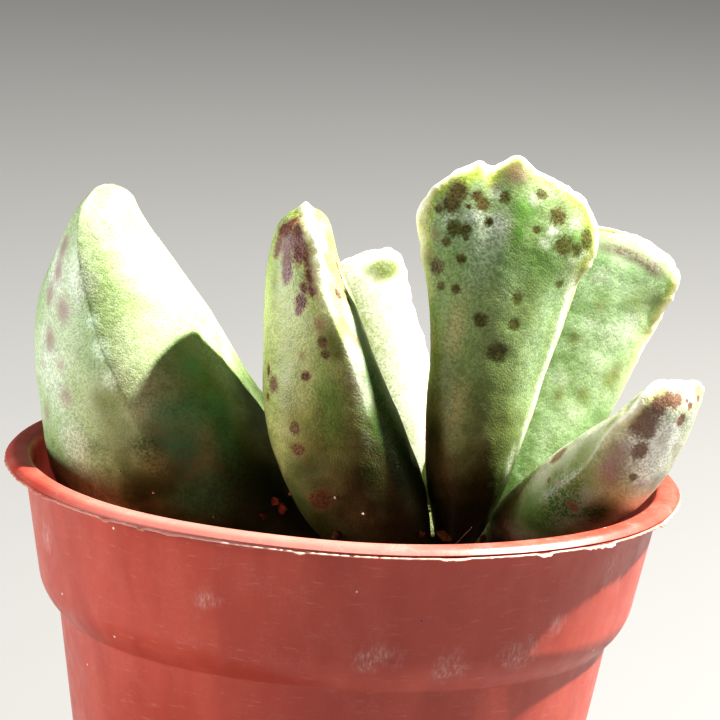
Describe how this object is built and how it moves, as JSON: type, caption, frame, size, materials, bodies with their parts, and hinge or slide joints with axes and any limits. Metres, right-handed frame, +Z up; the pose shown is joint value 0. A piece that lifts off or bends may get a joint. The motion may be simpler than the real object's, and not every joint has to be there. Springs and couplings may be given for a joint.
{
  "type": "potted adromischus",
  "caption": "Young adromischus succulent with fat spotted, crisp-edged leaves round a short stem, in a small round stepped plastic nursery pot of potting mix.",
  "frame": {"origin": "centre of the pot's underside, on the surface that it stands on", "axes": "+Z up, +Y away from the side that the picture shows, +X to that side's right"},
  "size_m": [0.0555, 0.055, 0.073],
  "materials": {
    "pot": "terracotta-coloured thermoformed plastic, satin",
    "soil": "dark potting mix, matt and crumbly",
    "stem": "short succulent stem with thin brown bark, matt",
    "leaf": "glaucous grey-green succulent leaf, maroon and olive spots, pale horny edge"
  },
  "bodies": {
    "root": {"pot": "pot", "soil": "soil", "stem": "stem", "growing_tip": "leaf", "leaf_paddle": "leaf", "leaf_front": "leaf", "leaf_left": "leaf", "leaf_back": "leaf", "leaf_rear_right": "leaf", "leaf_low_right": "leaf"}
  },
  "joints": []
}
